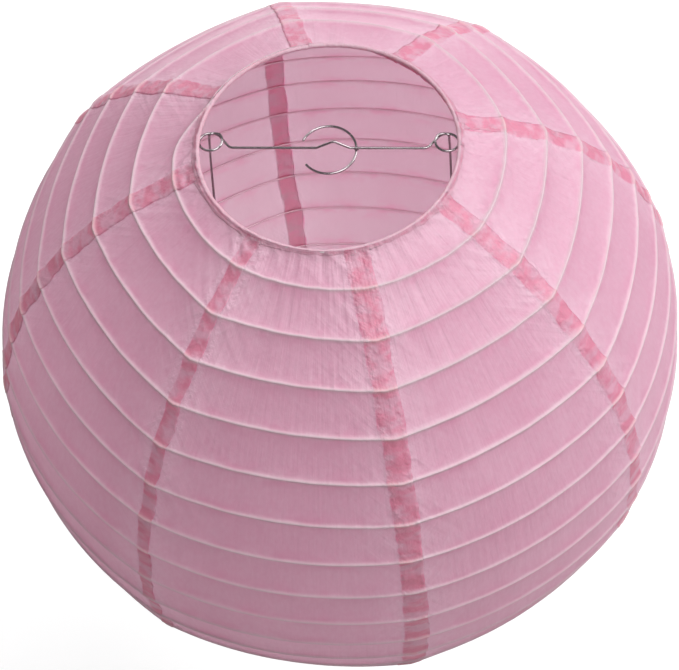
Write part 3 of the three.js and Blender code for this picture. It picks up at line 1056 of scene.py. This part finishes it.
paper = paper_material(
    "pink_paper",
    base=(0.765, 0.505, 0.62),
    deep=(0.73, 0.445, 0.57),
    fibre_and_wrinkle_highlight=(0.86, 0.71, 0.79),
    double=(0.77, 0.43, 0.58),
    glue=(0.70, 0.37, 0.52),
    # crest: the near-white painted highlight along the ribs
    crest=(1.0, 0.94, 0.97),
    through=(1.0, 0.51, 0.69),
    doubled_through=(0.86, 0.11, 0.31),
    wire_shade=0.45,
    gloss=1.0,
    roughness=0.5,
)
# The inside faces are painted near-white, far paler than the pink paper: painted light standing in for the
# light shone into the shell.
paper_inside_painted_light = paper_material(
    "pink_paper_inside",
    base=(0.88, 0.92, 0.90),
    deep=(0.87, 0.89, 0.87),
    fibre_and_wrinkle_highlight=(0.93, 0.95, 0.94),
    double=(1.0, 0.84, 0.93),
    glue=(0.91, 0.58, 0.70),
    crest=(0.86, 0.62, 0.70),
    through=(0.97, 0.97, 0.97),
    doubled_through=(1.0, 0.93, 0.99),
    wire_shade=0.1,
    gloss=0.5,
    roughness=0.7,
)
steel = wire_material("ring_steel", (0.90, 0.82, 0.84), (0.74, 0.62, 0.65), 0.45)
# The expander's wire is painted darker than bare steel, a painted dark reflection that gives it dark sides.
chrome = wire_material("expander_chrome", (0.36, 0.33, 0.34), (0.25, 0.22, 0.23), 0.16)

build_rib(steel)
build_ring("shell", True, steel)
build_ring("bottom", False, steel)
for gore_index in range(GORES):
    build_gore(gore_index, paper, paper_inside_painted_light)
build_hem("shell_hem", "shell", True, paper)
build_hem("bottom_hem", "bottom", False, paper)
build_crossbar(chrome)
build_leg(-1, "left_leg", chrome)
build_leg(1, "right_leg", chrome)
build_cord_ring(chrome)
build_weld_bead(chrome)

# ---------------------------------------------------------------- floor, light and camera

FLOOR_DROP = 0.9
FLOOR_HALF = 9


def build_floor():
    half = FLOOR_HALF
    corners = [(-half, -half, 0), (half, -half, 0), (half, half, 0), (-half, half, 0)]
    floor = new_object("floor", corners, [(0, 1, 2, 3)], floor_material())
    floor.location.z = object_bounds()[0][2] - FLOOR_DROP


CENTRE = Vector((0, 0, CENTRE_Z))


def polar_place(azimuth, elevation, distance):
    """A place seen from the shell's centre in that direction, in degrees, at that distance."""
    a, e = math.radians(azimuth), math.radians(elevation)
    return CENTRE + distance * Vector((math.cos(e) * math.cos(a), math.cos(e) * math.sin(a), math.sin(e)))


# Each lamp's name, then its azimuth, elevation and distance, the size of its disk and its power in watts.
LAMPS = [
    ("key", (20, 40, 2.4), 1.5, 43),
    ("back", (120, 34, 2.6), 1.8, 21),
    ("behind", (95, -22, 2.2), 1.6, 28),
    ("top", (320, 70, 2.6), 1.4, 44),
]
WORLD_STRENGTH = 0.22


def build_lamp(name, place, size, power):
    data = bpy.data.lights.new(name, "AREA")
    data.shape = "DISK"
    data.size = size
    data.energy = power
    lamp = bpy.data.objects.new(name, data)
    lamp.location = place
    lamp.rotation_euler = (CENTRE - place).to_track_quat("-Z", "Y").to_euler()
    lamp.visible_camera = False
    bpy.context.scene.collection.objects.link(lamp)


def build_world():
    world = bpy.data.worlds.new("studio")
    world.use_nodes = True
    background = world.node_tree.nodes["Background"]
    background.inputs["Color"].default_value = (1, 1, 1, 1)
    background.inputs["Strength"].default_value = WORLD_STRENGTH
    bpy.context.scene.world = world


CAMERA_AZIMUTH = 275
CAMERA_ELEVATION = 55.8
CAMERA_DISTANCE = 1.414
CAMERA_ROLL = math.radians(3.8)
CAMERA_LENS = 125.7
CAMERA_SENSOR = 36
CAMERA_NEAR = 0.01
CAMERA_AIM_DROP = 1.7 * MM
CAMERA_AIM_LEFT = 0.6 * MM


def build_camera():
    data = bpy.data.cameras.new("camera")
    data.sensor_width = CAMERA_SENSOR
    data.sensor_fit = "HORIZONTAL"
    data.lens = CAMERA_LENS
    data.clip_start = CAMERA_NEAR
    camera = bpy.data.objects.new("camera", data)
    place = polar_place(CAMERA_AZIMUTH, CAMERA_ELEVATION, CAMERA_DISTANCE)
    back = (place - CENTRE).normalized()
    right = Vector((0, 0, 1)).cross(back).normalized()
    up = back.cross(right)
    turned_right = right * math.cos(CAMERA_ROLL) - up * math.sin(CAMERA_ROLL)
    turned_up = back.cross(turned_right)
    place = place - turned_up * CAMERA_AIM_DROP - turned_right * CAMERA_AIM_LEFT
    rows = (turned_right, turned_up, back)
    camera.matrix_world = Matrix.Translation(place) @ Matrix(rows).transposed().to_4x4()
    bpy.context.scene.collection.objects.link(camera)
    bpy.context.scene.camera = camera


build_floor()
for lamp_name, direction, disk, watts in LAMPS:
    build_lamp(lamp_name, polar_place(*direction), disk, watts)
build_world()
bpy.context.scene.view_settings.view_transform = "Standard"
build_camera()
